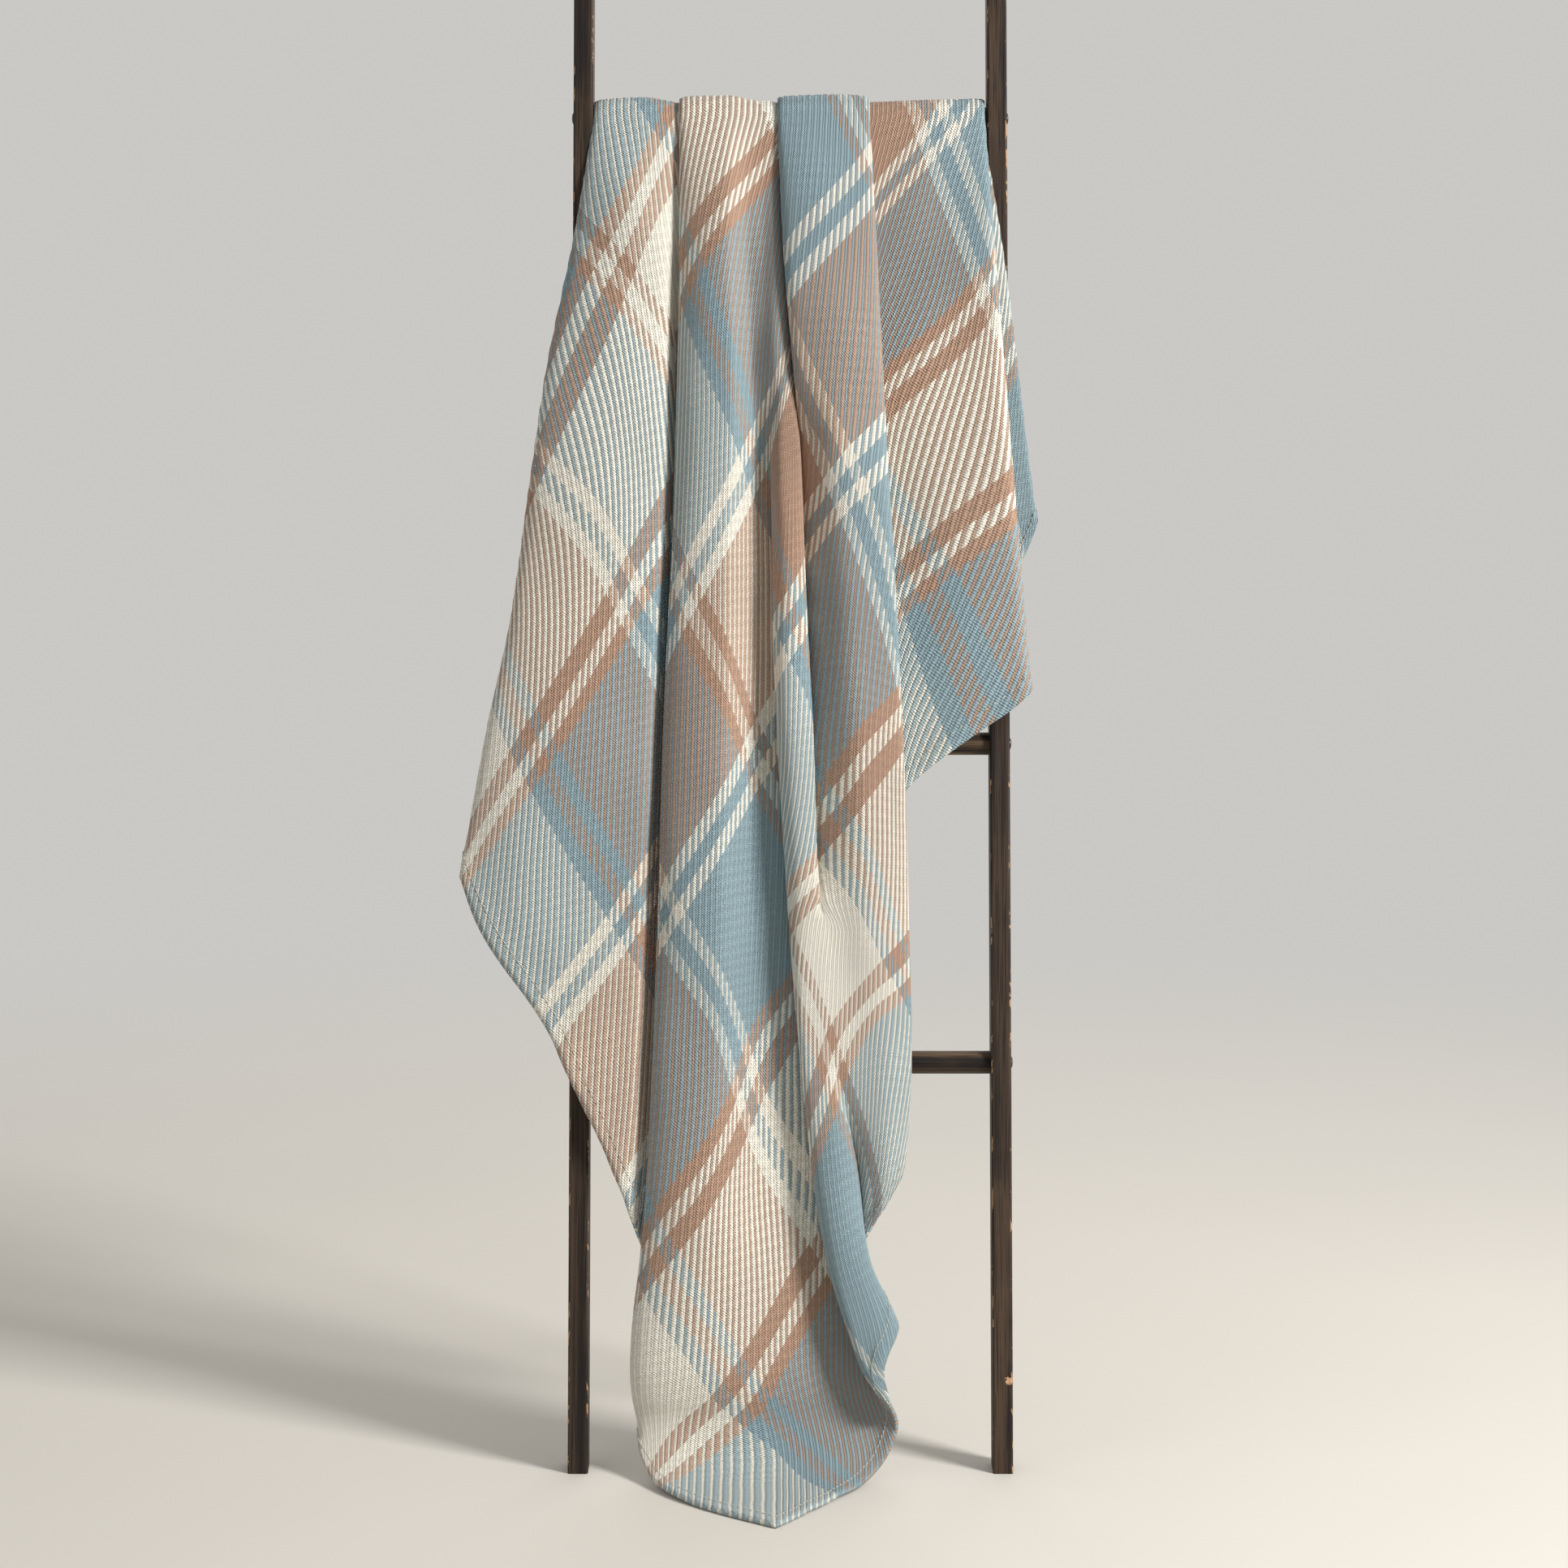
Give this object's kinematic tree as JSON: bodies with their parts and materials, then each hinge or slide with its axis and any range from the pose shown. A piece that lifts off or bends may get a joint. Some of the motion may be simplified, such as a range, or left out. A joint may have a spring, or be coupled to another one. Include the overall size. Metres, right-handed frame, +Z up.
{
  "type": "throw on a blanket ladder",
  "caption": "Leaning wooden blanket ladder with a woven plaid throw hung corner-down over a rung, its front corner trailing on the floor.",
  "frame": {"origin": "on the floor, under the middle of the object's bounding box", "axes": "+Z up; the ladder's face looks along -Y and it leans back towards a wall at +Y; +X is to the right of somebody facing it"},
  "size_m": [0.619, 0.5754, 1.5633],
  "materials": {
    "stile_wood": "satin",
    "rung_wood": "satin",
    "screw_metal": "satin",
    "throw_cloth": "matte"
  },
  "bodies": {
    "ladder": {"stile_left": "stile_wood", "stile_right": "stile_wood", "rung_1": "rung_wood", "rung_2": "rung_wood", "rung_3": "rung_wood", "rung_4": "rung_wood", "screw_left_1": "screw_metal", "screw_left_2": "screw_metal", "screw_left_3": "screw_metal", "screw_left_4": "screw_metal", "screw_right_1": "screw_metal", "screw_right_2": "screw_metal", "screw_right_3": "screw_metal", "screw_right_4": "screw_metal"},
    "throw": {"throw": "throw_cloth"}
  },
  "joints": [
    {"name": "throw_lift", "type": "slide", "parent": "ladder", "child": "throw", "axis": [0, 0.225, 0.9744], "range_m": [0, 1.8]}
  ]
}
